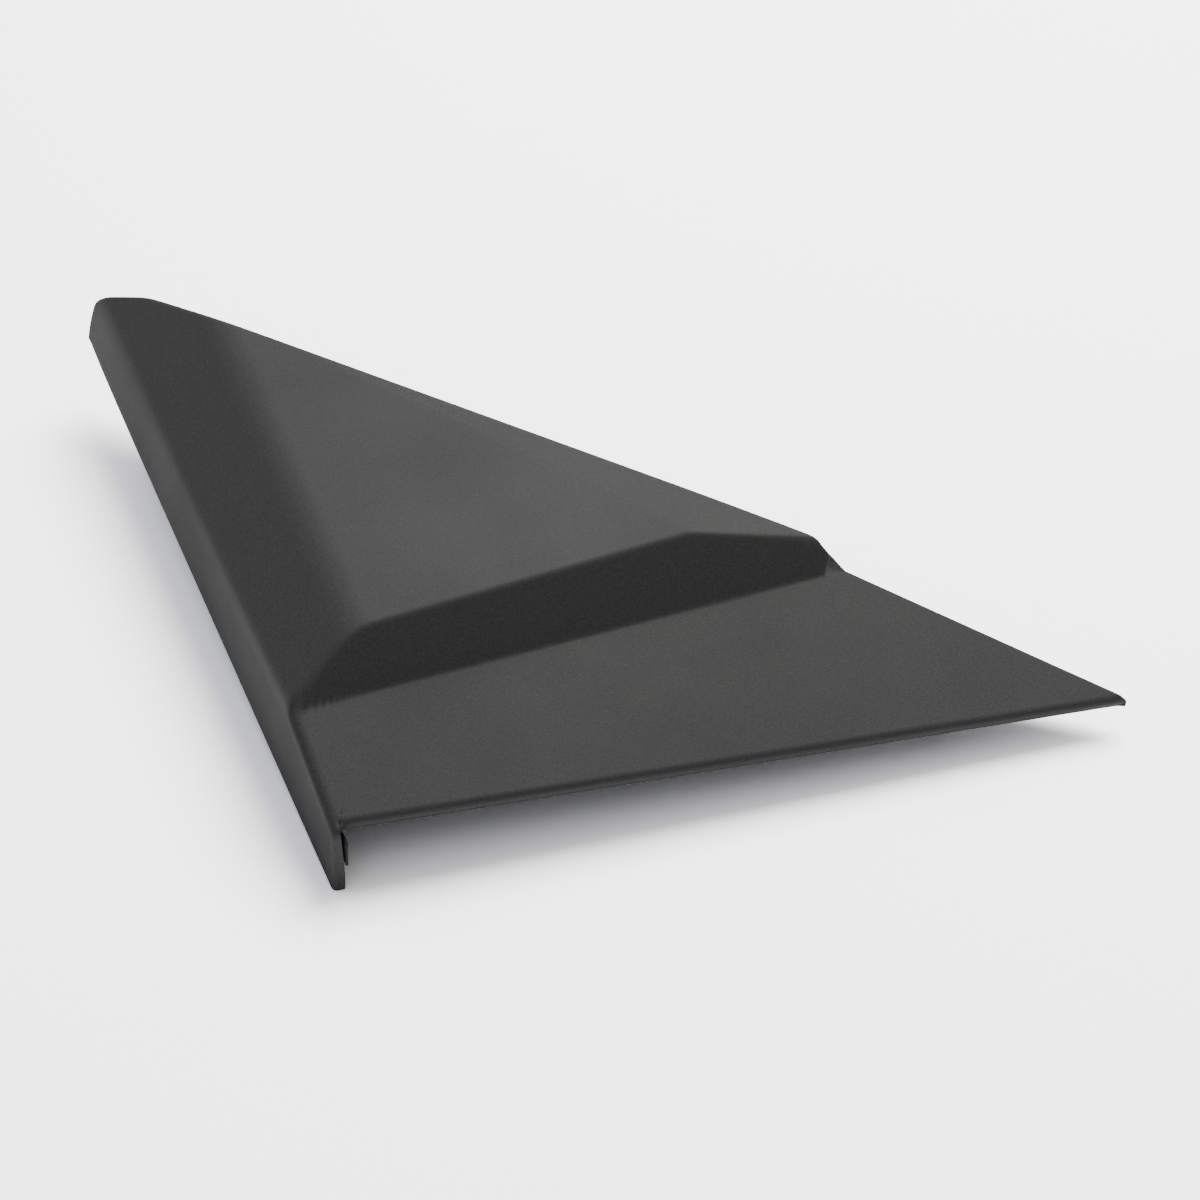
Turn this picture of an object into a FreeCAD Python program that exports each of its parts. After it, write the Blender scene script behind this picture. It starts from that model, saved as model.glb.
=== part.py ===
import FreeCAD, Part
import os
import Sketcher

# Exterior corner trim cover: a wedge-shaped moulded shell with a raised faceted body, a sloping lip in
# front of it, a side wall on the left and walls along the right edge.  A carrier bonded inside it has
# ribs, four clip towers and two locating pins.  Push-in clips with foam washers slide in the towers,
# and foam seals, tape, pads and two steel spring clips are fixed inside.
# Frame: millimetres, +Z up, the cover lying face up on its wall corner and its two locating pins.
# The sheet measures from the foot of the wall corner; origin_x and origin_y then move the origin to
# the middle of the bounding box in plan, on the surface that the cover lies on.

Vector = FreeCAD.Vector
doc = FreeCAD.newDocument("corner_trim_cover")

# ---------------------------------------------------------------- driving dimensions
DIMENSIONS = {
    "origin_x": 80.72, "origin_y": 96.59,
    # outline in plan, and heights of its corners
    "lip_length": 195.4, "break_x": 136.0, "break_y": 42.0, "break_z": 29.4,
    "apex_x": -34.2, "apex_y": 195.8, "apex_z": 21.6, "tip_z": 7.3,
    # outer facets: heading they fall towards, clockwise from +Y, slope from level, height or point
    "lip_heading": 172.7, "lip_slope": 21.2, "lip_height": 19.9,
    "left_heading": -102.8, "left_slope": 31.1, "left_height": 29.3,
    "top_heading": -172.7, "top_slope": 3.65, "top_height": 40.9,
    "right_heading": 56.4, "right_slope": 16.3,
    "shoulder_x": 98.4, "shoulder_y": 48.9, "shoulder_z": 44.8,
    "step_heading": 174.0, "step_slope": 55.0, "step_height": -9.8,
    "bevel_heading": 43.6, "bevel_slope": 48.8, "bevel_height": 178.9,
    "flank_heading": -99.1, "flank_slope": 77.0, "flank_x": -28.1, "flank_y": 189.8, "flank_z": 38.2,
    "undercut_heading": 141.9, "undercut_slope": 4.6, "undercut_height": 18.6, "undercut_width": 6.5,
    "wall_draft": 3.5, "back_draft": 3.0, "divide_heading": -5.6, "divide_lap": 2.0,
    # moulding
    "skin": 3.0, "ridge_radius": 16.0, "shoulder_radius": 3.0, "foot_radius": 1.5, "tip_radius": 0.8,
    "lip_radius": 2.2, "edge_radius": 2.0, "corner_radius": 1.0, "reach": 900.0, "blank_size": 400.0,
    # ribs
    "rib": 1.8, "rib_inset": 5.0, "lip_rib_y": 12.5,
    "lip_rib_1": 40.0, "lip_rib_2": 84.0, "lip_rib_3": 124.0,
    # clip towers
    "tower": 18.0, "room": 13.0, "room_back": 7.5, "room_height": 5.0, "shelf": 2.0,
    "slot_radius": 3.15, "float_travel": 1.0, "exit_travel": 9.0, "gap": 0.6, "column": 90.0,
    # clips and washers
    "flange_radius": 6.0, "flange": 1.5, "neck_radius": 3.0, "neck_play": 0.15,
    "collar_radius": 8.0, "collar_root": 5.0, "collar": 1.4, "stem_radius": 2.6, "stem_length": 9.5,
    "barb_radius": 4.3, "barb_low": 2.8, "barb_high": 5.6, "barb_edge": 0.5, "barb_back": 1.2,
    "nose_radius": 1.4, "barb_slot": 1.4, "washer_radius": 9.0, "washer_bore": 2.9, "washer": 2.4,
    # locating pins
    "pin_radius": 3.0, "pin_nose": 1.0, "boss_radius": 4.6, "gusset": 12.0,
    # seals, tape and pads
    "seal_width": 5.0, "seal_overhang": 1.5, "seal_depth": 4.5, "seal_end": 8.0,
    "lip_seal": 3.0, "lip_seal_width": 5.0, "lip_seal_inset": 6.0, "lip_seal_start": 18.0,
    "lip_seal_length": 124.0, "tape": 0.8, "tape_low": 7.6, "tape_high": 15.5, "tape_length": 84.0,
    "pad": 2.0, "pad_length": 20.0, "pad_width": 12.0,
    # spring clips on their blades, and the tab under the tip
    "blade_width": 12.0, "blade": 1.8, "spring_width": 9.0, "spring": 0.6, "spring_rise": 8.0,
    "tongue_tilt": 15.0, "tongue_width": 4.0, "tongue_length": 6.0, "spring_room": 10.0,
    "tab_x": 158.0, "tab_width": 12.0, "tab_proud": 0.2, "tab_depth": 8.0, "tab_drop": 1.9,
}
# clip positions, shelf heights, and the direction (degrees from +X) of each tower's open mouth
CLIPS = {
    "apex": {"x": 2.0, "y": 122.0, "shelf_z": 19.5, "mouth": 0.0},
    "corner": {"x": 16.0, "y": 52.0, "shelf_z": 12.5, "mouth": 90.0},
    "middle": {"x": 62.0, "y": 82.0, "shelf_z": 17.0, "mouth": 180.0},
    "side": {"x": 111.0, "y": 39.5, "shelf_z": 14.0, "mouth": 180.0},
}
PINS = {
    "apex": {"x": -14.0, "y": 150.0, "boss_z": 21.0},
    "tip": {"x": 150.0, "y": 15.0, "boss_z": 12.0},
}
SPRINGS = {"front": {"x": 4.0, "y": 34.0}, "rear": {"x": -6.5, "y": 98.0}}
PADS = {
    "lip": {"x": 62.0, "y": 18.0, "facet": "lip"},
    "body": {"x": 26.0, "y": 85.0, "facet": "top"},
    "side": {"x": 70.0, "y": 56.0, "facet": "top"},
}
for group, places in (("clip", CLIPS), ("pin", PINS), ("spring", SPRINGS), ("pad", PADS)):
    for place, numbers in places.items():
        for key, number in numbers.items():
            if key != "facet":
                DIMENSIONS["%s_%s_%s" % (group, place, key)] = number

sheet = doc.addObject("Spreadsheet::Sheet", "Dimensions")
for row, (alias, number) in enumerate(DIMENSIONS.items(), start=1):
    sheet.set("A%d" % row, alias)
    sheet.set("B%d" % row, str(number))
    sheet.setAlias("B%d" % row, alias)
doc.recompute()


def names(expression):
    """Write an expression in the sheet's aliases with their sheet in front: @skin is Dimensions.skin."""
    return expression.replace("@", "Dimensions.")


def bind(item, expressions):
    """Bind properties of a document object to expressions in the sheet's aliases."""
    for name, expression in expressions.items():
        item.setExpression(name, names(expression))
    return item


def box(name, x, y, z, length, width, height):
    """A Part::Box with every size and its corner bound to the sheet."""
    item = doc.addObject("Part::Box", name)
    return bind(item, {"Length": length, "Width": width, "Height": height,
                       "Placement.Base.x": x, "Placement.Base.y": y, "Placement.Base.z": z})


def centred_box(name, x, y, z, length, width, height):
    """A Part::Box given by the middle of its footprint and its underside."""
    return box(name, "%s - (%s) / 2" % (x, length), "%s - (%s) / 2" % (y, width), z, length, width, height)


def cylinder(name, x, y, z, radius, height):
    """An upright Part::Cylinder bound to the sheet."""
    item = doc.addObject("Part::Cylinder", name)
    return bind(item, {"Radius": radius, "Height": height,
                       "Placement.Base.x": x, "Placement.Base.y": y, "Placement.Base.z": z})


def fuse(name, items):
    item = doc.addObject("Part::MultiFuse", name)
    item.Shapes = items
    return item


def common(name, items):
    item = doc.addObject("Part::MultiCommon", name)
    item.Shapes = items
    return item


def cut(name, base, tool):
    item = doc.addObject("Part::Cut", name)
    item.Base = base
    item.Tool = tool
    return item


def turned(item, angle, x, y):
    """Turn an item's own shape about the upright line through x, y with a further Placement."""
    holder = doc.addObject("Part::Compound", item.Name + "_turned")
    holder.Links = [item]
    turn = "%s * 1deg" % angle
    return bind(holder, {
        "Placement.Rotation.Axis.x": "0", "Placement.Rotation.Axis.y": "0",
        "Placement.Rotation.Axis.z": "1", "Placement.Rotation.Angle": turn,
        "Placement.Base.x": "{0} - {0} * cos({2}) + {1} * sin({2})".format(x, y, turn),
        "Placement.Base.y": "{1} - {0} * sin({2}) - {1} * cos({2})".format(x, y, turn)})


# ---------------------------------------------------------------- flat facets of the cover
WALL_HEADING = "(atan2(-@apex_y; @apex_x) / 1deg)"
BACK_HEADING = "(atan2(@apex_y - @break_y; @break_x - @apex_x) / 1deg)"
EDGE_HEADING = "(atan2(@break_y; @lip_length - @break_x) / 1deg)"
RIM_ALONG_X = "(@tip_z / @lip_length)"
RIM_ALONG_Y = "((@apex_z - @apex_x * @tip_z / @lip_length) / @apex_y)"
FACETS = {
    "lip": ("@lip_heading", "@lip_slope", ("0", "0", "@lip_height")),
    "left": ("@left_heading", "@left_slope", ("0", "0", "@left_height")),
    "top": ("@top_heading", "@top_slope", ("0", "0", "@top_height")),
    "right": ("@right_heading", "@right_slope", ("@shoulder_x", "@shoulder_y", "@shoulder_z")),
    "step": ("@step_heading", "@step_slope", ("0", "0", "@step_height")),
    "bevel": ("@bevel_heading", "@bevel_slope", ("0", "0", "@bevel_height")),
    "flank": ("@flank_heading", "@flank_slope", ("@flank_x", "@flank_y", "@flank_z")),
    "undercut": ("@undercut_heading", "@undercut_slope", ("0", "0", "@undercut_height")),
    "wall": (WALL_HEADING, "(90 - @wall_draft)", ("0", "0", "0")),
    "back": (BACK_HEADING, "(90 - @back_draft)", ("@break_x", "@break_y", "@break_z")),
    "edge": (EDGE_HEADING, "90", ("@lip_length", "0", "0")),
    "front": ("180", "90", ("0", "0", "0")),
    "divide": ("@divide_heading", "90", ("@break_x", "@break_y", "0")),
    "rim": ("(atan2({0}; {1}) / 1deg)".format(RIM_ALONG_X, RIM_ALONG_Y),
            "(180 - atan(sqrt({0} * {0} + {1} * {1})) / 1deg)".format(RIM_ALONG_X, RIM_ALONG_Y),
            ("0", "0", "0")),
}


def outside(name, facet, depth="0"):
    """Everything on the outer side of a facet moved inwards by depth: a very wide square block, tilted."""
    heading, slope, (x, y, z) = FACETS[facet]
    turn, tilt = "(%s * 1deg)" % heading, "(%s * 1deg)" % slope
    block = doc.addObject("Part::Prism", name)
    block.Polygon = 4
    return bind(block, {
        "Circumradius": "@reach", "Height": "@reach",
        "Placement.Rotation.Axis.x": "-cos%s" % turn, "Placement.Rotation.Axis.y": "sin%s" % turn,
        "Placement.Rotation.Axis.z": "0", "Placement.Rotation.Angle": tilt,
        "Placement.Base.x": "%s - (%s) * sin%s * sin%s" % (x, depth, turn, tilt),
        "Placement.Base.y": "%s - (%s) * cos%s * sin%s" % (y, depth, turn, tilt),
        "Placement.Base.z": "%s - (%s) * cos%s" % (z, depth, tilt)})


def layer(name, facet, near, far):
    """The slab between two depths under a facet."""
    return cut(name, outside(name + "_far", facet, far), outside(name + "_near", facet, near))


def form(name, depth, closed_by):
    """The cover's form, its facets moved inwards by depth: the lip's wedge joined to the body."""
    parts = []
    for portion, facets in (("lip", ("lip", "edge", "wall", "flank", "left")),
                            ("body", ("left", "top", "right", "bevel", "step", "back", "wall", "flank"))):
        tag = "%s_%s" % (name, portion)
        half = "@blank_size / 2"
        blank = box(tag + "_blank", "-" + half, "-" + half, "-" + half,
                    "@blank_size * 1.5", "@blank_size * 1.5", "@blank_size")
        tools = [outside("%s_%s" % (tag, facet), facet, depth) for facet in facets]
        tools += [outside("%s_%s" % (tag, facet), facet) for facet in closed_by]
        if portion == "lip":
            tools.append(outside(tag + "_divide", "divide", "-@divide_lap"))
        parts.append(cut(tag, blank, fuse(tag + "_tools", tools)))
    return fuse(name, parts)


# ---------------------------------------------------------------- shell: outer form, blends, hollow
outer = form("outer", "0", ("front", "rim"))
doc.recompute()


def facet_normal(facet):
    """A facet's outward direction, read from the block that cuts it."""
    block = doc.getObject("outer_body_" + facet) or doc.getObject("outer_lip_" + facet)
    return block.Placement.Rotation.multVec(Vector(0, 0, 1))


def facet_of(face):
    """The name of the facet that a face of the outer form lies in."""
    low_u, high_u, low_v, high_v = face.ParameterRange
    normal = face.normalAt((low_u + high_u) / 2, (low_v + high_v) / 2)
    return max((facet for facet in FACETS if facet not in ("divide", "undercut")),
               key=lambda facet: normal.dot(facet_normal(facet)))


blends = {
    ("left", "top"): "ridge_radius", ("right", "top"): "shoulder_radius",
    ("step", "top"): "shoulder_radius", ("right", "step"): "shoulder_radius",
    ("lip", "step"): "foot_radius", ("front", "lip"): "lip_radius", ("edge", "front"): "tip_radius",
    ("bevel", "top"): "edge_radius", ("bevel", "left"): "edge_radius",
    ("back", "left"): "foot_radius", ("back", "right"): "foot_radius",
    ("back", "wall"): "corner_radius", ("back", "flank"): "corner_radius",
    ("front", "wall"): "corner_radius",
}
sharp = doc.addObject("Part::Refine", "outer_sharp")
sharp.Source = outer
doc.recompute()
chosen = []
for number, edge in enumerate(sharp.Shape.Edges, start=1):
    sides = [facet_of(face) for face in sharp.Shape.Faces if any(edge.isSame(other) for other in face.Edges)]
    alias = blends.get(tuple(sorted(sides)))
    if alias:
        chosen.append((number, sheet.get(alias), sheet.get(alias)))
rounded = doc.addObject("Part::Fillet", "outer_rounded")
rounded.Base = sharp
rounded.Edges = chosen
hollow = form("hollow", "@skin", ())
undercut = cut("undercut", box("undercut_block", "0", "-@skin", "0", "@lip_length", "@skin + @undercut_width",
                               "@lip_height"),
               fuse("undercut_limits", [outside("undercut_top", "undercut"),
                                        outside("undercut_side", "wall", "@skin")]))
skin = cut("skin_wall", rounded, fuse("hollow_and_undercut", [hollow, undercut]))

# ---------------------------------------------------------------- carrier: towers, ribs, pins, blades
towers, rooms, ways = [], [], []
for place in CLIPS:
    at = {key: "@clip_%s_%s" % (place, key) for key in ("x", "y", "shelf_z", "mouth")}
    x, y, z = at["x"], at["y"], at["shelf_z"]
    tag = "tower_" + place
    towers.append(turned(centred_box(tag, x, y, z, "@tower", "@tower", "@column"), at["mouth"], x, y))
    throat = cylinder(tag + "_throat", "%s - @float_travel" % x, y, z, "@slot_radius", "@shelf")
    slot = box(tag + "_slot", "%s - @float_travel" % x, "%s - @slot_radius" % y, z,
               "@tower", "2 * @slot_radius", "@shelf")
    room = box(tag + "_room", "%s - @room_back" % x, "%s - @room / 2" % y, "%s + @shelf" % z,
               "@room_back + @tower", "@room", "@room_height")
    flue = box(tag + "_flue", "%s - @room_back" % x, "%s - @room / 2" % y, "%s + @shelf" % z,
               "@room_back + @room / 2", "@room", "@column")
    rooms.append(turned(fuse(tag + "_cavity", [throat, slot, room, flue]), at["mouth"], x, y))
    way = box(tag + "_way", x, "%s - @washer_radius - @gap" % y, "0",
              "@exit_travel + @washer_radius + @gap", "2 * (@washer_radius + @gap)",
              "%s + @shelf + @room_height" % z)
    foot = centred_box(tag + "_foot", x, y, "0", "@tower", "@tower", z)
    ways.append(turned(fuse(tag + "_path", [way, foot]), at["mouth"], x, y))


def rib(name, start, end):
    """An upright rib between two points given as expressions, from the foot up past the skin."""
    (x1, y1), (x2, y2) = start, end
    run, rise = "(%s - %s)" % (x2, x1), "(%s - %s)" % (y2, y1)
    length = "sqrt({0} * {0} + {1} * {1})".format(run, rise)
    plate = doc.addObject("Part::Box", name)
    return bind(plate, {
        "Length": length, "Width": "@rib", "Height": "@column",
        "Placement.Rotation.Angle": "atan2(%s; %s)" % (rise, run),
        "Placement.Base.x": "%s + @rib / 2 * %s / %s" % (x1, rise, length),
        "Placement.Base.y": "%s - @rib / 2 * %s / %s" % (y1, run, length)})


def spot(group, place):
    """The plan position of a place, as two expressions."""
    return "@%s_%s_x" % (group, place), "@%s_%s_y" % (group, place)


def blade_foot(place):
    """The height of a spring clip's blade foot: a rib's inset above the rim at that place."""
    x, y = spot("spring", place)
    return "%s * %s + %s * %s + @rib_inset" % (RIM_ALONG_X, x, RIM_ALONG_Y, y)


ribs = [rib("rib_%d" % number, start, end) for number, (start, end) in enumerate([
    (spot("clip", "corner"), spot("clip", "apex")),
    (spot("clip", "corner"), spot("clip", "middle")),
    (spot("clip", "corner"), spot("clip", "side")),
    (spot("clip", "middle"), spot("clip", "apex")),
    (spot("clip", "middle"), spot("clip", "side")),
    (spot("clip", "side"), spot("pin", "tip")),
    (spot("clip", "apex"), spot("pin", "apex")),
    (spot("spring", "front"), spot("clip", "corner")),
    (spot("spring", "rear"), spot("clip", "apex")),
    (("@lip_rib_1", "@lip_rib_y"), ("@lip_rib_1", "@clip_corner_y")),
    (("@lip_rib_2", "@lip_rib_y"), ("@lip_rib_2", "@clip_middle_y")),
    (("@lip_rib_3", "@lip_rib_y"), ("@lip_rib_3", "@clip_side_y")),
], start=1)]
blades = [centred_box("blade_" + place, *spot("spring", place), blade_foot(place),
                      "@blade", "@blade_width", "@column") for place in SPRINGS]
pins = []
for place in PINS:
    x, y = spot("pin", place)
    foot = "@pin_%s_boss_z" % place
    nose = doc.addObject("Part::Cone", "pin_%s_nose" % place)
    bind(nose, {"Radius1": "@pin_radius - @pin_nose", "Radius2": "@pin_radius", "Height": "@pin_nose",
                "Placement.Base.x": x, "Placement.Base.y": y})
    pins += [nose, cylinder("pin_%s_column" % place, x, y, "@pin_nose", "@pin_radius", "@column"),
             cylinder("pin_%s_boss" % place, x, y, foot, "@boss_radius", "@column"),
             centred_box("gusset_%s_along" % place, x, y, foot, "@gusset", "@rib", "@column"),
             centred_box("gusset_%s_across" % place, x, y, foot, "@rib", "@gusset", "@column")]
spring_rooms = [centred_box("spring_room_" + place, *spot("spring", place), "0", "@spring_room",
                            "@spring_room", blade_foot(place) + " + @spring_rise + @gap")
                for place in SPRINGS]
lattice = cut("rib_lattice", fuse("rib_plates", ribs), fuse("rib_clearances",
              [outside("rib_feet", "rim", "@rib_inset")] + ways + spring_rooms))
hollow_towers = cut("towers_hollowed", fuse("towers_and_ribs", towers + [lattice]),
                    fuse("tower_cavities", rooms))
carrier = common("carrier_moulding", [fuse("carrier_parts", [hollow_towers] + blades + pins), hollow])
tab = common("tab", [layer("tab_layer", "lip", "@skin / 3", "@tab_drop"),
                     box("tab_block", "@tab_x", "-@tab_proud", "0", "@tab_width",
                         "@tab_proud + @tab_depth", "@column")])
shell = fuse("shell_moulding", [skin, tab])

# ---------------------------------------------------------------- nodes: fixed pieces
nodes = []


def node(label, item):
    """A finished piece: the item moved so that the origin is where the frame wants it."""
    piece = doc.addObject("Part::Compound", label)
    piece.Links = [item]
    nodes.append(bind(piece, {"Placement.Base.x": "-@origin_x", "Placement.Base.y": "-@origin_y"}))


node("cover_shell", shell)
node("inner_carrier", carrier)
node("rear_seal", common("rear_seal_strip", [
    layer("rear_seal_layer", "back", "@skin", "@skin + @seal_width"),
    layer("rear_seal_band", "rim", "-@seal_overhang", "@seal_depth"),
    box("rear_seal_block", "@apex_x", "@break_y", "0", "@break_x - @apex_x - @seal_end", "@apex_y",
        "@column"), hollow]))
node("lip_seal", common("lip_seal_strip", [
    layer("lip_seal_layer", "lip", "@skin", "@skin + @lip_seal"),
    box("lip_seal_block", "@lip_seal_start", "@lip_seal_inset", "0", "@lip_seal_length",
        "@lip_seal_width", "@column")]))
node("side_tape", common("side_tape_strip", [
    layer("side_tape_layer", "wall", "@skin", "@skin + @tape"),
    layer("side_tape_band", "rim", "@tape_low", "@tape_high"),
    box("side_tape_block", "@apex_x", "0", "0", "-@apex_x + @tower", "@tape_length", "@column")]))
for number, place in enumerate(PADS, start=1):
    pad_layer = layer("pad_layer_" + place, PADS[place]["facet"], "@skin", "@skin + @pad")
    pad_block = centred_box("pad_block_" + place, *spot("pad", place), "0", "@pad_length", "@pad_width",
                            "@column")
    node("felt_pad_%d" % number, common("pad_" + place, [pad_layer, pad_block]))
for number, place in enumerate(SPRINGS, start=1):
    x, y = spot("spring", place)
    foot = blade_foot(place)
    loop = cut("spring_loop_" + place,
               centred_box("spring_outside_" + place, x, y, foot + " - @spring",
                           "@blade + 2 * @spring", "@spring_width", "@spring_rise + @spring"),
               centred_box("spring_inside_" + place, x, y, foot, "@blade", "@spring_width",
                           "@spring_rise"))
    tongues = []
    for side, corner, tilt in (("left", "- @blade / 2 - @spring", "-@tongue_tilt"),
                               ("right", "+ @blade / 2", "@tongue_tilt")):
        tongue = box("spring_tongue_%s_%s" % (side, place), "%s %s" % (x, corner),
                     "%s - @tongue_width / 2" % y, foot, "@spring", "@tongue_width", "@tongue_length")
        bind(tongue, {"Placement.Rotation.Axis.x": "0", "Placement.Rotation.Axis.y": "1",
                      "Placement.Rotation.Axis.z": "0", "Placement.Rotation.Angle": tilt + " * 1deg"})
        tongues.append(tongue)
    node("spring_clip_%d" % number, fuse("spring_" + place, [loop] + tongues))


# ---------------------------------------------------------------- nodes: clips and washers
def origin_plane(body, role):
    """A body's own origin plane, found by its role."""
    return [(feature, [""]) for feature in body.Origin.OriginFeatures if feature.Role == role]


def new_sketch(body, name, role):
    sketch = body.newObject("Sketcher::SketchObject", name)
    sketch.AttachmentSupport = origin_plane(body, role)
    sketch.MapMode = "FlatFace"
    return sketch


def constrain(sketch, kind, places, alias, expression):
    """Add a named driving constraint bound to an expression."""
    number = sketch.addConstraint(Sketcher.Constraint(kind, *places, sketch.evalExpression(names(expression))))
    sketch.renameConstraint(number, alias)
    sketch.setExpression("Constraints." + alias, names(expression))


def outline(sketch, corners):
    """A closed polygon whose corners are pairs of expressions, each one fixed to the origin."""
    points = [Vector(*(float(sketch.evalExpression(names(value))) for value in corner), 0)
              for corner in corners]
    for number, start in enumerate(points):
        sketch.addGeometry(Part.LineSegment(start, points[(number + 1) % len(points)]), False)
    for number, (across, up) in enumerate(corners):
        sketch.addConstraint(Sketcher.Constraint("Coincident", number, 2, (number + 1) % len(points), 1))
        constrain(sketch, "DistanceX", (-1, 1, number, 1), "across_%d" % number, across)
        constrain(sketch, "DistanceY", (-1, 1, number, 1), "up_%d" % number, up)


NECK = "(@shelf + 2 * @neck_play)"
HEAD = "@stem_length + @collar"
CLIP_PROFILE = [
    ("0", "0"), ("@nose_radius", "0"),
    ("@barb_radius", "@barb_low"), ("@barb_radius", "@barb_low + @barb_edge"),
    ("@stem_radius", "@barb_low + @barb_back"),
    ("@barb_radius", "@barb_high"), ("@barb_radius", "@barb_high + @barb_edge"),
    ("@stem_radius", "@barb_high + @barb_back"), ("@stem_radius", "@stem_length"),
    ("@collar_radius", "@stem_length"), ("@collar_radius", "@stem_length + @collar / 2"),
    ("@collar_root", HEAD), ("@neck_radius", HEAD), ("@neck_radius", HEAD + " + " + NECK),
    ("@flange_radius", HEAD + " + " + NECK), ("@flange_radius", HEAD + " + " + NECK + " + @flange"),
    ("0", HEAD + " + " + NECK + " + @flange"),
]
for number, place in enumerate(CLIPS, start=1):
    x, y = spot("clip", place)
    tip = "@clip_%s_shelf_z - @neck_play - @collar - @stem_length" % place
    clip = doc.addObject("PartDesign::Body", "clip_%d" % number)
    profile = new_sketch(clip, "clip_profile_%d" % number, "XZ_Plane")
    outline(profile, CLIP_PROFILE)
    turn = clip.newObject("PartDesign::Revolution", "clip_turned_%d" % number)
    turn.Profile = profile
    turn.ReferenceAxis = (profile, ["V_Axis"])
    turn.Angle = 360
    split = new_sketch(clip, "clip_split_%d" % number, "XY_Plane")
    outline(split, [("-@barb_slot / 2", "-@barb_radius"), ("@barb_slot / 2", "-@barb_radius"),
                    ("@barb_slot / 2", "@barb_radius"), ("-@barb_slot / 2", "@barb_radius")])
    pocket = clip.newObject("PartDesign::Pocket", "clip_slot_%d" % number)
    pocket.Profile = split
    pocket.Reversed = True
    bind(pocket, {"Length": "@barb_high + @barb_back"})
    washer = doc.addObject("PartDesign::Body", "washer_%d" % number)
    ring = new_sketch(washer, "washer_ring_%d" % number, "XY_Plane")
    for circle, alias in enumerate(("washer_radius", "washer_bore")):
        ring.addGeometry(Part.Circle(Vector(0, 0, 0), Vector(0, 0, 1), sheet.get(alias)), False)
        ring.addConstraint(Sketcher.Constraint("Coincident", circle, 3, -1, 1))
        constrain(ring, "Radius", (circle,), alias, "@" + alias)
    pad = washer.newObject("PartDesign::Pad", "washer_pad_%d" % number)
    pad.Profile = ring
    bind(pad, {"Length": "@washer"})
    for body, height in ((clip, tip), (washer, tip + " + @stem_length - @washer")):
        bind(body, {"Placement.Base.x": x + " - @origin_x", "Placement.Base.y": y + " - @origin_y",
                    "Placement.Base.z": height})
        nodes.append(body)

# ---------------------------------------------------------------- check and write
doc.recompute()
for item in doc.Objects:
    if {"Invalid", "Error"} & set(item.State):
        raise RuntimeError("%s could not be made: %s" % (item.Label, item.State))
os.makedirs("parts", exist_ok=True)
for item in nodes:
    if item.Shape.isNull() or not item.Shape.isValid() or len(item.Shape.Solids) != 1:
        raise RuntimeError("%s has no single valid solid" % item.Label)
    item.Shape.exportStep("parts/%s.step" % item.Label)
    print("%-14s %10.1f mm3  %s" % (item.Label, item.Shape.Volume, item.Shape.BoundBox))
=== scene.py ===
from math import radians
import bmesh
import bpy
import numpy as np
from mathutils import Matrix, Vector


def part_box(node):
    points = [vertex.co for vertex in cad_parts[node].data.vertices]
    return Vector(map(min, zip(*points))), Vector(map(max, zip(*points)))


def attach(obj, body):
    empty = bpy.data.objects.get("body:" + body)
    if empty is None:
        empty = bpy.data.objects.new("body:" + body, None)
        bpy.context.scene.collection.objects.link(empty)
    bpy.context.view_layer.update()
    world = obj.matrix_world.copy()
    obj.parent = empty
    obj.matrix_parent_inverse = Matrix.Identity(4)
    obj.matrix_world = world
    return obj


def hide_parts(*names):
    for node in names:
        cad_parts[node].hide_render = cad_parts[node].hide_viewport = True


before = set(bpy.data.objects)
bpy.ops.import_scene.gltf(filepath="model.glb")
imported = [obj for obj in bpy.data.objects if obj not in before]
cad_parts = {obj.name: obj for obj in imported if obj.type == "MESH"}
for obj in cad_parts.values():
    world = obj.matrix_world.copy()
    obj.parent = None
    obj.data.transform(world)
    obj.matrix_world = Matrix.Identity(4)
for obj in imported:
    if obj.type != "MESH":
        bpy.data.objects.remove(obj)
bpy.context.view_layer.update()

# Camera: a long-ish lens above the front edge, looking back and down over the cover.
CORNER = Vector((-0.08072, -0.09659, 0.0))
EYE_FROM_CORNER = Vector((-0.0252, -0.3255, 0.4022))
LOOK_DOWN = 44.0
TURN = -15.16
camera_data = bpy.data.cameras.new("camera")
camera_data.lens_unit = "FOV"
camera_data.angle = radians(30.0)
camera_data.clip_start = 0.01
camera = bpy.data.objects.new("camera", camera_data)
bpy.context.scene.collection.objects.link(camera)
camera.location = CORNER + EYE_FROM_CORNER
camera.rotation_euler = (radians(90.0 - LOOK_DOWN), 0.0, radians(TURN))
bpy.context.scene.camera = camera

# Floor: a smooth white board, plain, wide enough to run out of the picture on every side.
# It reads as white where nothing shades it, and keeps the cover's shadow.
REACH = 3
BOARD_COLOUR = (0.88, 0.88, 0.88, 1.0)
BOARD_AS_SEEN = (1.78, 1.77, 1.76, 1.0)
floor_mesh = bpy.data.meshes.new("floor")
floor_corners = [(-REACH, -REACH, 0), (REACH, -REACH, 0), (REACH, REACH, 0), (-REACH, REACH, 0)]
floor_mesh.from_pydata(floor_corners, [], [(0, 1, 2, 3)])
floor = bpy.data.objects.new("floor", floor_mesh)
bpy.context.scene.collection.objects.link(floor)
floor_paint = bpy.data.materials.new("white_board")
floor_paint.use_nodes = True
board = floor_paint.node_tree
board.nodes.clear()
board_out = board.nodes.new("ShaderNodeOutputMaterial")
board_matt = board.nodes.new("ShaderNodeBsdfDiffuse")
board_tone = board.nodes.new("ShaderNodeMix")
board_tone.data_type = "RGBA"
board_tone.inputs["A"].default_value = BOARD_COLOUR
board_tone.inputs["B"].default_value = BOARD_AS_SEEN


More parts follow.
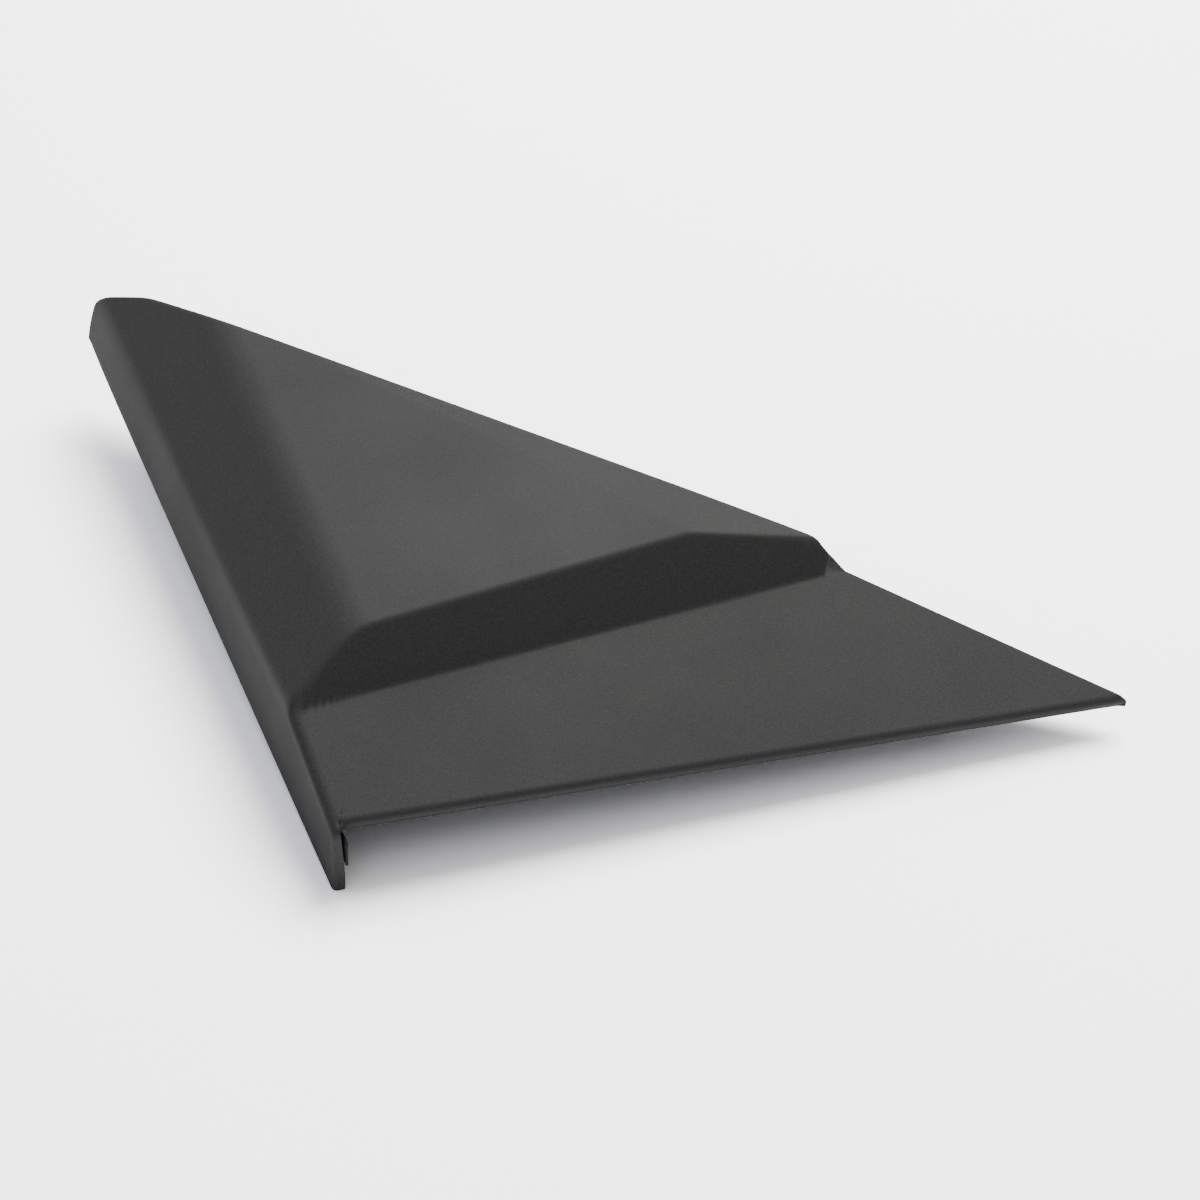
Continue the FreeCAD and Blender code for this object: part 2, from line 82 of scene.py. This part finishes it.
def seen_directly(tree):
    """1 for rays from the camera, in a reflection or through glass, 0 for the rest: the larger of the
    three flags."""
    rays = tree.nodes.new("ShaderNodeLightPath")
    flag = rays.outputs["Is Camera Ray"]
    for other in ("Is Glossy Ray", "Is Transmission Ray"):
        larger = tree.nodes.new("ShaderNodeMath")
        larger.operation = "MAXIMUM"
        tree.links.new(flag, larger.inputs[0])
        tree.links.new(rays.outputs[other], larger.inputs[1])
        flag = larger.outputs[0]
    return flag


board.links.new(seen_directly(board), board_tone.inputs["Factor"])
board.links.new(board_tone.outputs["Result"], board_matt.inputs["Color"])
board.links.new(board_matt.outputs["BSDF"], board_out.inputs["Surface"])
floor_mesh.materials.append(floor_paint)

# Light: one large soft lamp behind and to the right, high up, and a pale room all round that is
# brighter overhead than at the sides. The camera sees the room as plain white.
KEY_FROM = Vector((0.34, 0.34, 0.877))
KEY_DISTANCE = 1.35
BRIGHT_TOWARDS = (0.05, 0.35, 0.935)
WARM_TOWARDS = (0.8, 0.1, 0.6)
DIM, BRIGHT = 0.22, 1.50
COOL, WARM = (0.90, 0.93, 1.06, 1.0), (1.0, 0.98, 0.95, 1.0)
lamp_data = bpy.data.lights.new("key_lamp", "AREA")
lamp_data.shape = "DISK"
lamp_data.size = 0.85
lamp_data.energy = 40.0
lamp_data.color = (1.0, 0.975, 0.94)
lamp = bpy.data.objects.new("key_lamp", lamp_data)
bpy.context.scene.collection.objects.link(lamp)
lamp.location = KEY_FROM * KEY_DISTANCE
lamp.rotation_euler = KEY_FROM.to_track_quat("Z", "Y").to_euler()
world = bpy.data.worlds.new("room")
bpy.context.scene.world = world
world.use_nodes = True
room = world.node_tree
room.nodes.clear()
room_out = room.nodes.new("ShaderNodeOutputWorld")
room_mix = room.nodes.new("ShaderNodeMixShader")
room_glow = room.nodes.new("ShaderNodeBackground")
room_white = room.nodes.new("ShaderNodeBackground")
room_place = room.nodes.new("ShaderNodeTexCoord")
room_toward = room.nodes.new("ShaderNodeVectorMath")
room_toward.operation = "DOT_PRODUCT"
room_toward.inputs[1].default_value = BRIGHT_TOWARDS
room_level = room.nodes.new("ShaderNodeMapRange")
room_level.interpolation_type = "SMOOTHSTEP"
room_level.inputs["From Min"].default_value = 0.25
room_level.inputs["From Max"].default_value = 1.0
room_level.inputs["To Min"].default_value = DIM
room_level.inputs["To Max"].default_value = BRIGHT
room_side = room.nodes.new("ShaderNodeVectorMath")
room_side.operation = "DOT_PRODUCT"
room_side.inputs[1].default_value = WARM_TOWARDS
room_tint = room.nodes.new("ShaderNodeMix")
room_tint.data_type = "RGBA"
room_tint.inputs["A"].default_value = COOL
room_tint.inputs["B"].default_value = WARM
room_white.inputs["Color"].default_value = (1.0, 1.0, 1.0, 1.0)
room_white.inputs["Strength"].default_value = 1.0
room.links.new(room_place.outputs["Generated"], room_toward.inputs[0])
room.links.new(room_toward.outputs["Value"], room_level.inputs["Value"])
room.links.new(room_place.outputs["Generated"], room_side.inputs[0])
room.links.new(room_side.outputs["Value"], room_tint.inputs["Factor"])
room.links.new(room_level.outputs["Result"], room_glow.inputs["Strength"])
room.links.new(room_tint.outputs["Result"], room_glow.inputs["Color"])
room_rays = room.nodes.new("ShaderNodeLightPath")
room.links.new(room_rays.outputs["Is Camera Ray"], room_mix.inputs["Fac"])
room.links.new(room_glow.outputs["Background"], room_mix.inputs[1])
room.links.new(room_white.outputs["Background"], room_mix.inputs[2])
room.links.new(room_mix.outputs["Shader"], room_out.inputs["Surface"])


# Cover face: the grained outer moulding, 3 mm thick, open underneath and along its front edge.
# Flat facets run into each other over soft roundings, and the wall leans out more towards the apex.
ORIGIN = np.array([80.72, 96.59, 0.0])
FACETS = {
    "lip": (172.7, 21.2, (0, 0, 19.9)), "left": (-102.8, 31.1, (0, 0, 29.3)),
    "top": (-172.7, 3.65, (0, 0, 40.9)), "right": (56.4, 16.3, (98.4, 48.9, 44.8)),
    "step": (174.0, 55.0, (0, 0, -9.8)), "bevel": (43.6, 48.8, (0, 0, 178.9)),
    "flank": (-99.1, 77.0, (-28.1, 189.8, 38.2)), "wall": (-99.9, 86.5, (0, 0, 0)),
    "back": (42.1, 87.0, (136, 42, 29.4)), "edge": (35.3, 90.0, (195.4, 0, 0)),
    "front": (-179.4, 90.0, (195.4, 0, 0)), "divide": (-5.6, 90.0, (136, 42, 0)),
    "undercut": (141.9, 4.6, (0, 0, 18.6)),
}
CORNERS = np.array([(0.0, 0.0), (195.4, 0.0), (136.0, 42.0), (-34.2, 195.8)])
MIDDLE = np.array([42.0, 62.0])
IN_THE_WALL = np.array([1.4, 4.5])
THICKNESS = 3.0


def past(points, facet):
    """How far points lie outside a facet: their distance along its outward normal."""
    heading, slope, place = FACETS[facet]
    heading, slope = radians(heading), radians(slope)
    normal = np.array([np.sin(heading) * np.sin(slope), np.cos(heading) * np.sin(slope), np.cos(slope)])
    return (points - np.array(place, float)) @ normal


def rounded_max(a, b, reach):
    """The larger of two distances, raised smoothly where they are within reach of each other."""
    near = np.maximum(reach - np.abs(a - b), 0.0) / reach
    return np.maximum(a, b) + near * near * reach / 4


def rounded_min(a, b, reach):
    """The smaller of two distances, lowered smoothly where they are within reach of each other."""
    return -rounded_max(-a, -b, reach)


def roof(points, inset, soft):
    """The faces seen from above: the body's facets rounded together, joined to the lip's slope over a
    small hollow rounding at the foot of the step."""
    body = rounded_max(past(points, "top"), past(points, "right"), 0.25 * soft)
    for facet, reach in (("left", 2.6), ("step", 1.0), ("bevel", 0.8)):
        body = rounded_max(body, past(points, facet), reach * soft)
    lip = np.maximum(past(points, "lip"), past(points, "divide") - 2.0 - inset)
    return rounded_min(body, lip, 0.3 * soft) + inset


def sides(points, inset, soft):
    """The upright faces: the wall running into its leaning flank, and the back running into the edge."""
    wall = rounded_max(past(points, "wall"), past(points, "flank"), 1.6 * soft)
    back = rounded_min(past(points, "back"), past(points, "edge"), 0.3 * soft)
    return wall + inset, back + inset


def outer_form(points):
    """Negative inside the moulding's outer face: roof, wall, back and front edge rounded together."""
    wall, back = sides(points, 0.0, 1.0)
    wall_end = rounded_max(-points[..., 1], -wall - THICKNESS, 0.7)
    front = rounded_min(past(points, "front"), wall_end, 0.6)
    form = rounded_max(roof(points, 0.0, 1.0), wall, 3.2)
    form = rounded_max(form, front, 1.5)
    return rounded_max(form, back, 0.8)


def inner_form(points):
    """Negative inside the hollow: the same faces moved in by the thickness, with tight corners."""
    wall, back = sides(points, THICKNESS, 0.2)
    return rounded_max(rounded_max(roof(points, THICKNESS, 0.2), wall, 0.5), back, 0.5)


def shoot(form, start, aim, reach):
    """Where rays from start through aim leave a form, found by halving the interval 30 times."""
    low = np.zeros(start.shape[:-1])
    high = np.full(start.shape[:-1], reach)
    for _ in range(30):
        half = (low + high) / 2
        inside = form(start + (aim - start) * half[..., None]) < 0
        low = np.where(inside, half, low)
        high = np.where(inside, high, half)
    return start + (aim - start) * low[..., None]


def join(plan, height):
    """Points from plan positions and heights."""
    height = np.broadcast_to(height, plan.shape[:-1])
    return np.concatenate([plan, height[..., None]], -1)


def height_under(form, plan):
    """The height of a form's face straight above each plan position."""
    start = join(plan, -20.0)
    return shoot(form, start, start + [0.0, 0.0, 1.0], 90.0)[..., 2]


def drawn_in(outline, inset):
    """The closest point to each outline point on the corner polygon drawn in by inset."""
    turned = np.roll(CORNERS, -1, 0) - CORNERS
    turned = turned / np.linalg.norm(turned, axis=1)[:, None]
    inward = np.stack([-turned[:, 1], turned[:, 0]], 1)
    moved = CORNERS + inward * inset
    previous = np.roll(turned, 1, 0)
    cross = previous[:, 0] * turned[:, 1] - previous[:, 1] * turned[:, 0]
    back_to = np.roll(moved, 1, 0)
    gap = moved - back_to
    along = (gap[:, 0] * turned[:, 1] - gap[:, 1] * turned[:, 0]) / cross
    inner = back_to + previous * along[:, None]
    run = np.roll(inner, -1, 0) - inner
    share = np.einsum("skc,kc->sk", outline[:, None] - inner[None], run) / (run ** 2).sum(1)
    share = np.clip(share, 0.0, 1.0)
    near = inner[None] + share[..., None] * run[None]
    best = np.linalg.norm(near - outline[:, None], axis=2).argmin(1)
    return near[np.arange(len(outline)), best]


def crowded(count, start, end):
    """Numbers from 0 to 1, closer together at the start, the end, or both."""
    even = np.linspace(0.0, 1.0, count, endpoint=False)
    eased = even - start * np.sin(2 * np.pi * even) / (2 * np.pi) if start and end else even
    if end and not start:
        eased = 1.0 - (1.0 - even) ** 1.6
    if start and not end:
        eased = even ** 1.6
    return eased


def stretch(a, b, share):
    """Points along a line."""
    return np.array(a, float) + share[:, None] * (np.array(b, float) - np.array(a, float))


end_across = stretch((0.0, 0.0), (3.3, 0.0), np.linspace(0.0, 1.0, 9))
front_across = stretch((3.32, 1.97), CORNERS[1], crowded(128, 0, 1))
outline = np.concatenate([
    end_across, front_across, stretch(CORNERS[1], CORNERS[2], crowded(64, 0, 1)),
    stretch(CORNERS[2], CORNERS[3], crowded(130, 0.8, 0.8)),
    stretch(CORNERS[3], CORNERS[0], crowded(138, 0.8, 0.8)),
])
is_end = np.arange(len(outline)) < len(end_across)
is_front = (np.arange(len(outline)) < len(end_across) + len(front_across)) & ~is_end
RIM_RISE = (0.03736, 0.11684)
LIP_DEPTH = 1.3
rim_height = RIM_RISE[0] * outline[:, 0] + RIM_RISE[1] * outline[:, 1]
lip_height = 19.9 - 0.0493 * outline[:, 0] + 0.3847 * outline[:, 1]
foot = np.where(is_front, np.maximum(lip_height - LIP_DEPTH, rim_height), rim_height)


def skin_rows(form, inset, outline, foot, counts):
    """Rows of one face from its foot to the middle of the cover: level rays up the wall, a fan of rays
    over the edge, then upright rays across the top, each stopped by the form."""
    pivot = drawn_in(outline, inset)
    root = np.where(is_end[:, None], IN_THE_WALL, pivot)
    crest = height_under(lambda points: roof(points, inset - 6.0, 1.0), outline)
    top = height_under(form, pivot)
    knee = np.maximum(np.minimum(crest - 4.0, top - 1.0), foot + 0.03)
    climb = np.linspace(0.0, 1.0, counts[0])[:, None]
    level = foot + (knee - foot) * climb
    start = join(np.broadcast_to(root, (counts[0], *root.shape)), level)
    wall = shoot(form, start, join(np.broadcast_to(outline, start.shape[:2] + (2,)), level), 2.5)
    start = join(root, knee)
    low, high, over = join(outline, knee), join(outline, crest), join(pivot, top)
    rise = np.linspace(0.0, 1.0, counts[1] + 1)[1:, None, None]
    across = np.linspace(0.0, 1.0, counts[2] + 1)[1:, None, None] ** 1.5
    aims = np.concatenate([low + (high - low) * rise, high + (over - high) * across])
    fan = shoot(form, np.broadcast_to(start, aims.shape), aims, 3.0)
    spread = np.linspace(0.0, 1.0, counts[3] + 1)[1:, None, None]
    plan = pivot + (MIDDLE - pivot) * spread
    return np.concatenate([wall, fan, join(plan, height_under(form, plan))])


OUTER_INSET, INNER_INSET = 6.0, 10.0
OUTER_ROWS, INNER_ROWS = (8, 6, 16, 110), (5, 4, 6, 30)
UNDER_ROWS = sum(INNER_ROWS[:3])
outer = skin_rows(outer_form, OUTER_INSET, outline, foot, OUTER_ROWS)
inner = skin_rows(inner_form, INNER_INSET, outline, foot, INNER_ROWS)
inwards = np.linspace(0.0, 1.0, UNDER_ROWS)[:, None, None]
under_plan = outline + (drawn_in(outline, INNER_INSET) - outline) * inwards
under = join(under_plan, height_under(lambda points: np.maximum(
    roof(points, THICKNESS, 0.2), past(points, "undercut")), under_plan))
inner[:UNDER_ROWS] = np.where(is_front[:, None], under, inner[:UNDER_ROWS])
inner[0] = np.where(is_front[:, None], outer[0], inner[0])
inner[:UNDER_ROWS, is_end] = inner[:UNDER_ROWS, len(outline) - 1][:, None]


def piece_from_grid(name, grid, closed_around=True):
    """A mesh from a grid of points, rows by columns: quads between neighbours, columns joined round,
    and the first and last rows closed by one point in their middle, doubled points merged."""
    rows, columns = grid.shape[:2]
    points = grid.reshape(-1, 3)
    row, column = np.meshgrid(np.arange(rows - 1), np.arange(columns), indexing="ij")
    beside = (column + 1) % columns
    quads = np.stack([row * columns + column, row * columns + beside,
                      (row + 1) * columns + beside, (row + 1) * columns + column], -1).reshape(-1, 4)
    faces = quads.tolist()
    if closed_around:
        points = np.concatenate([points, grid[:1].mean(1), grid[-1:].mean(1)])
        ring, last = np.arange(columns), (rows - 1) * columns
        faces += [[rows * columns, (c + 1) % columns, c] for c in ring.tolist()]
        faces += [[rows * columns + 1, last + c, last + (c + 1) % columns] for c in ring.tolist()]
    mesh = bpy.data.meshes.new(name)
    mesh.from_pydata(points.tolist(), [], faces)
    merged = bmesh.new()
    merged.from_mesh(mesh)
    bmesh.ops.remove_doubles(merged, verts=merged.verts, dist=1e-7)
    bmesh.ops.recalc_face_normals(merged, faces=merged.faces)
    merged.to_mesh(mesh)
    merged.free()
    mesh.shade_smooth()
    piece = bpy.data.objects.new(name, mesh)
    bpy.context.scene.collection.objects.link(piece)
    return piece


def speckle_group():
    """A fine moulded grain: two sizes of noise summed into a height, and the small one as a mask of
    lighter and darker flecks, both on Object coordinates."""
    tree = bpy.data.node_groups.new("moulded_grain", "ShaderNodeTree")
    for name, value in (("Grain size", 900.0), ("Fleck contrast", 0.5)):
        socket = tree.interface.new_socket(name, in_out="INPUT", socket_type="NodeSocketFloat")
        socket.default_value = value
    for name in ("Height", "Fleck", "Drift"):
        tree.interface.new_socket(name, in_out="OUTPUT", socket_type="NodeSocketFloat")
    nodes, links = tree.nodes, tree.links
    entry = nodes.new("NodeGroupInput")
    leave = nodes.new("NodeGroupOutput")
    place = nodes.new("ShaderNodeTexCoord")
    fine = nodes.new("ShaderNodeTexNoise")
    fine.inputs["Detail"].default_value = 3.0
    fine.inputs["Roughness"].default_value = 0.6
    pits = nodes.new("ShaderNodeTexVoronoi")
    pits.feature = "SMOOTH_F1"
    drift = nodes.new("ShaderNodeTexNoise")
    drift.inputs["Scale"].default_value = 28.0
    drift.inputs["Detail"].default_value = 2.0
    half = nodes.new("ShaderNodeMath")
    half.operation = "MULTIPLY"
    half.inputs[1].default_value = 1.6
    add = nodes.new("ShaderNodeMath")
    add.operation = "MULTIPLY_ADD"
    add.inputs[1].default_value = 0.6
    fleck = nodes.new("ShaderNodeMapRange")
    fleck.inputs["From Min"].default_value = 0.3
    fleck.inputs["From Max"].default_value = 0.7
    scaled = nodes.new("ShaderNodeMath")
    scaled.operation = "MULTIPLY"
    for node in (fine, pits, drift):
        links.new(place.outputs["Object"], node.inputs["Vector"])
    links.new(entry.outputs["Grain size"], fine.inputs["Scale"])
    links.new(entry.outputs["Grain size"], half.inputs[0])
    links.new(half.outputs[0], pits.inputs["Scale"])
    links.new(pits.outputs["Distance"], add.inputs[0])
    links.new(fine.outputs["Fac"], add.inputs[2])
    links.new(fine.outputs["Fac"], fleck.inputs["Value"])
    links.new(fleck.outputs["Result"], scaled.inputs[0])
    links.new(entry.outputs["Fleck contrast"], scaled.inputs[1])
    links.new(add.outputs[0], leave.inputs["Height"])
    links.new(scaled.outputs[0], leave.inputs["Fleck"])
    links.new(drift.outputs["Fac"], leave.inputs["Drift"])
    return tree


GRAIN = speckle_group()


def grained_material(name, dark, light, grain_size, contrast, depth, rough_low, rough_high, specular):
    """A plastic, rubber or felt: its colour runs from dark to light with the flecks, its roughness
    drifts slowly between two values, and the grain stands up by depth metres."""
    material = bpy.data.materials.new(name)
    material.use_nodes = True
    nodes, links = material.node_tree.nodes, material.node_tree.links
    shader = nodes["Principled BSDF"]
    shader.inputs["Specular IOR Level"].default_value = specular
    grain = nodes.new("ShaderNodeGroup")
    grain.node_tree = GRAIN
    grain.inputs["Grain size"].default_value = grain_size
    grain.inputs["Fleck contrast"].default_value = contrast
    tint = nodes.new("ShaderNodeMix")
    tint.data_type = "RGBA"
    tint.inputs["A"].default_value = (*dark, 1.0)
    tint.inputs["B"].default_value = (*light, 1.0)
    rough = nodes.new("ShaderNodeMapRange")
    rough.inputs["From Min"].default_value = 0.3
    rough.inputs["From Max"].default_value = 0.7
    rough.inputs["To Min"].default_value = rough_low
    rough.inputs["To Max"].default_value = rough_high
    bump = nodes.new("ShaderNodeBump")
    bump.inputs["Strength"].default_value = 1.0
    bump.inputs["Distance"].default_value = depth
    links.new(grain.outputs["Fleck"], tint.inputs["Factor"])
    links.new(tint.outputs["Result"], shader.inputs["Base Color"])
    links.new(grain.outputs["Drift"], rough.inputs["Value"])
    slant = nodes.new("ShaderNodeLayerWeight")
    matt = nodes.new("ShaderNodeMapRange")
    matt.inputs["From Min"].default_value = 0.5
    matt.inputs["From Max"].default_value = 0.9
    matt.inputs["To Max"].default_value = 0.35
    total = nodes.new("ShaderNodeMath")
    total.use_clamp = True
    links.new(slant.outputs["Facing"], matt.inputs["Value"])
    links.new(rough.outputs["Result"], total.inputs[0])
    links.new(matt.outputs["Result"], total.inputs[1])
    links.new(total.outputs[0], shader.inputs["Roughness"])
    links.new(grain.outputs["Height"], bump.inputs["Height"])
    links.new(bump.outputs["Normal"], shader.inputs["Normal"])
    return material


shell_plastic = grained_material(
    "shell_plastic", dark=(0.010, 0.010, 0.0105), light=(0.022, 0.022, 0.0215), grain_size=2100.0, contrast=0.9,
    depth=0.00002, rough_low=0.62, rough_high=0.68, specular=0.22)


def to_row(points):
    """Millimetres from the wall corner's foot, as metres in the part's frame."""
    return (points - ORIGIN) / 1000


both_faces = to_row(np.concatenate([inner[::-1], outer]))
cover_face = piece_from_grid("cover_face", both_faces, closed_around=False)
corner_points = np.empty(len(cover_face.data.vertices) * 3)
cover_face.data.vertices.foreach_get("co", corner_points)
corner_points = corner_points.reshape(-1, 3) * 1000 + ORIGIN
STEP = 0.02
slope = np.stack([outer_form(corner_points + STEP * axis) - outer_form(corner_points - STEP * axis)
                  for axis in np.eye(3)], -1)
slope /= np.linalg.norm(slope, axis=1)[:, None]
on_face = np.abs(outer_form(corner_points)) < 0.01
cover_face.data.normals_split_custom_set_from_vertices(np.where(on_face[:, None], slope, 0.0).tolist())
cover_face.data.materials.append(shell_plastic)
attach(cover_face, "cover")
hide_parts("cover_shell")

# Carrier: ribs, four clip towers, two locating pins and two spring blades in one glass-filled moulding,
# bonded to the inside of the cover.
def dress(node_name, material):
    """Give a CAD node one material in every slot."""
    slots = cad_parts[node_name].material_slots
    for place in slots:
        place.material = material


carrier_plastic = grained_material(
    "carrier_plastic", dark=(0.020, 0.020, 0.021), light=(0.030, 0.030, 0.031), grain_size=900.0, contrast=0.6,
    depth=0.00001, rough_low=0.36, rough_high=0.46, specular=0.5)
dress("inner_carrier", carrier_plastic)

# Clips: push-in fasteners turned out of one nylon moulding each, with a head that slides in the
# cover's keyhole slot, a dished collar and a split stem with two rows of barbs.
clip_nylon = grained_material(
    "clip_nylon", dark=(0.60, 0.58, 0.50), light=(0.70, 0.68, 0.60), grain_size=500.0, contrast=0.6,
    depth=0.00001, rough_low=0.28, rough_high=0.36, specular=0.5)
for number in (1, 2, 3, 4):
    dress("clip_%d" % number, clip_nylon)

# Spring clips: folded strips of phosphated spring steel pushed over the cover's two blades, each
# with a tongue on either side that bites into the panel's slot.
spring_steel = grained_material(
    "spring_steel", dark=(0.30, 0.29, 0.27), light=(0.42, 0.41, 0.39), grain_size=700.0, contrast=0.7,
    depth=0.00001, rough_low=0.30, rough_high=0.42, specular=0.5)
spring_steel.node_tree.nodes["Principled BSDF"].inputs["Metallic"].default_value = 1.0
for number in (1, 2):
    dress("spring_clip_%d" % number, spring_steel)

# Foam and felt: self-adhesive strips and pads cut from sheet, stuck inside the shell where it meets
# the panel. Each fills the space between its eight cut corners, edges softened by the knife.
def eight_corners(node_name):
    """The eight corners of a block-like CAD node, ordered by sign along its long, middle and short
    axes: for each of the eight sign triples, the vertex furthest that way in units of the extents."""
    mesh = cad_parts[node_name].data
    points = np.empty(len(mesh.vertices) * 3)
    mesh.vertices.foreach_get("co", points)
    points = np.unique(points.reshape(-1, 3).round(7), axis=0)
    centre = (points.max(0) + points.min(0)) / 2
    axes = np.linalg.svd(points - centre, full_matrices=False)[2]
    if np.linalg.det(axes) < 0:
        axes[2] = -axes[2]
    along = (points - centre) @ axes.T
    along = along / np.abs(along).max(0)
    signs = np.array([(i, j, k) for i in (-1, 1) for j in (-1, 1) for k in (-1, 1)], float)
    return points[(along @ signs.T).argmax(0)].reshape(2, 2, 2, 3)


def cut_block(name, node_name, edge, swell):
    """A soft block between eight corners. A rounded rectangle is carried along the block, drawn in over
    the edge radius at both ends, and mapped into the corners by weights linear in each direction.
    The faces wander by swell metres as two sine waves, as cut foam does."""
    corners = eight_corners(node_name)
    sizes = [np.linalg.norm(corners.mean((1, 2))[1] - corners.mean((1, 2))[0]),
             np.linalg.norm(corners.mean((0, 2))[1] - corners.mean((0, 2))[0]),
             np.linalg.norm(corners.mean((0, 1))[1] - corners.mean((0, 1))[0])]
    edge = min(edge, 0.45 * min(sizes))
    turn = np.linspace(0.0, np.pi / 2, 6)
    run = np.linspace(edge, sizes[0] - edge, max(8, int(sizes[0] / 0.0025)))
    along = np.concatenate([edge - edge * np.cos(turn), run[1:-1], sizes[0] - edge + edge * np.sin(turn)])
    within = np.maximum(edge - np.minimum(along, sizes[0] - along), 0)
    draw = edge - np.sqrt(np.maximum(edge ** 2 - within ** 2, 0))
    half = np.array(sizes[1:]) / 2
    spots, outward = [], []
    for number, (side, up) in enumerate(((1, 1), (-1, 1), (-1, -1), (1, -1))):
        angle = turn + number * np.pi / 2
        arc = np.stack([np.cos(angle), np.sin(angle)], -1)
        spots.append(np.array([side, up]) * (half - edge) + arc * edge)
        step = np.linspace(0.0, 1.0, 9)[1:-1, None]
        following = np.array(((-1, 1), (-1, -1), (1, -1), (1, 1))[number]) * (half - edge)
        leave = spots[-1][-1]
        reach = following + np.array([np.cos(angle[-1]), np.sin(angle[-1])]) * edge
        spots.append(leave + (reach - leave) * step)
        outward += [arc, np.broadcast_to(arc[-1], (7, 2))]
    section, outward = np.concatenate(spots), np.concatenate(outward)
    ripple = np.sin(along[:, None] * 420 + section[:, 0] * 900)
    wander = swell * (ripple + np.sin(along[:, None] * 173 + 2.0)) / 2
    flat = section[None] - outward[None] * (draw[:, None, None] + swell - wander[..., None])
    share = np.concatenate([np.broadcast_to((along / sizes[0])[:, None, None], (*flat.shape[:2], 1)),
                            flat / (2 * half) + 0.5], -1)
    weight = np.stack([1 - share, share], -1)
    grid = np.einsum("rci,rcj,rck,ijkx->rcx", weight[:, :, 0], weight[:, :, 1], weight[:, :, 2], corners)
    return piece_from_grid(name, grid)


def fix_soft(piece, node_name, body, material):
    """Give a soft piece its material, hang it on the body it rides on, and hide the CAD node it stands for."""
    piece.data.materials.append(material)
    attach(piece, body)
    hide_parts(node_name)


seal_foam = grained_material(
    "seal_foam", dark=(0.007, 0.007, 0.0075), light=(0.020, 0.020, 0.021), grain_size=520.0, contrast=0.9,
    depth=0.00018, rough_low=0.80, rough_high=0.95, specular=0.2)
tape_foam = grained_material(
    "tape_foam", dark=(0.012, 0.012, 0.012), light=(0.030, 0.030, 0.031), grain_size=700.0, contrast=0.8,
    depth=0.00008, rough_low=0.75, rough_high=0.90, specular=0.2)
felt = grained_material(
    "felt", dark=(0.030, 0.031, 0.034), light=(0.10, 0.10, 0.105), grain_size=380.0, contrast=1.0,
    depth=0.00022, rough_low=0.90, rough_high=1.0, specular=0.1)
for node_name, slot, material, edge, fill in (
        ("rear_seal", "seal_foam", seal_foam, 0.0007, 0.9), ("lip_seal", "seal_foam", seal_foam, 0.0006, 0.9),
        ("side_tape", "tape_foam", tape_foam, 0.0003, 0.9), ("felt_pad_1", "felt", felt, 0.0005, 1.0),
        ("felt_pad_2", "felt", felt, 0.0005, 1.0), ("felt_pad_3", "felt", felt, 0.0005, 1.0)):
    strip = cut_block(node_name + "_soft", node_name, edge, 0.00008)
    fix_soft(strip, node_name, "cover", material)

# Foam washers: punched from closed-cell foam sheet, threaded on each clip's stem under its collar, so
# that they seal the hole in the panel.
WASHER_BORE = 0.0029


def punched_ring(name, node_name, bore, edge):
    """A flat ring: a rectangle with rounded corners, from bore to outer radius, turned once about the
    upright axis through the middle of the node's box."""
    low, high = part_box(node_name)
    middle = (np.array(low) + np.array(high)) / 2
    outer, half = (high.x - low.x) / 2, (high.z - low.z) / 2
    mid_radius, half_width = (outer + bore) / 2, (outer - bore) / 2
    section = []
    for number, (side, up) in enumerate(((1, 1), (-1, 1), (-1, -1), (1, -1))):
        angle = np.linspace(0.0, np.pi / 2, 6) + number * np.pi / 2
        section.append(np.stack([mid_radius + side * (half_width - edge) + edge * np.cos(angle),
                                 up * (half - edge) + edge * np.sin(angle)], -1))
    section = np.concatenate(section)
    around = np.linspace(0.0, 2 * np.pi, 96, endpoint=False)
    spread = np.stack([section[:, :1] * np.cos(around), section[:, :1] * np.sin(around),
                       np.broadcast_to(section[:, 1:], (len(section), len(around)))], -1)
    grid = np.concatenate([spread, spread[:1]]) + middle
    return piece_from_grid(name, grid, closed_around=False)


for number in (1, 2, 3, 4):
    node_name = "washer_%d" % number
    ring = punched_ring(node_name + "_soft", node_name, WASHER_BORE, 0.0004)
    fix_soft(ring, node_name, "fastener_%d" % number, seal_foam)
